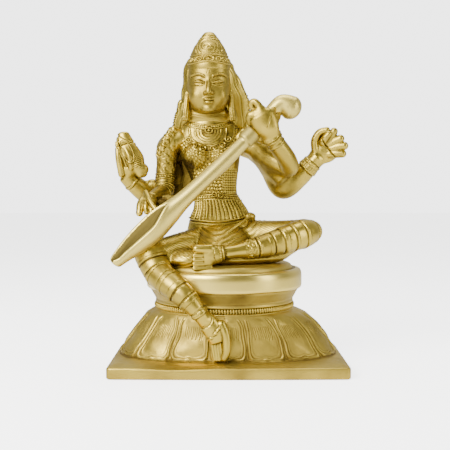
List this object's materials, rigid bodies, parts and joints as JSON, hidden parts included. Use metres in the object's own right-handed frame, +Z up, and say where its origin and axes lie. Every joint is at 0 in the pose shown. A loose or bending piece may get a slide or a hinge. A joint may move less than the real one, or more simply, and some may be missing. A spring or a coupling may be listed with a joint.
{
  "type": "cast brass deity figure",
  "caption": "Cast brass four-armed seated goddess with a long-necked lute across her body, on a round lotus seat and rectangular plinth plate, to stand on a shelf or shrine.",
  "frame": {"origin": "middle of the plinth plate's underside, on the surface that it stands on", "axes": "+Z up to the crown, -Y to the figure's front, +X to the viewer's right"},
  "size_m": [0.1768, 0.1291, 0.254],
  "materials": {
    "aged_brass": "worn satin with dark patina in the recesses"
  },
  "bodies": {
    "root": {"saraswati_figure": "aged_brass"}
  },
  "joints": []
}
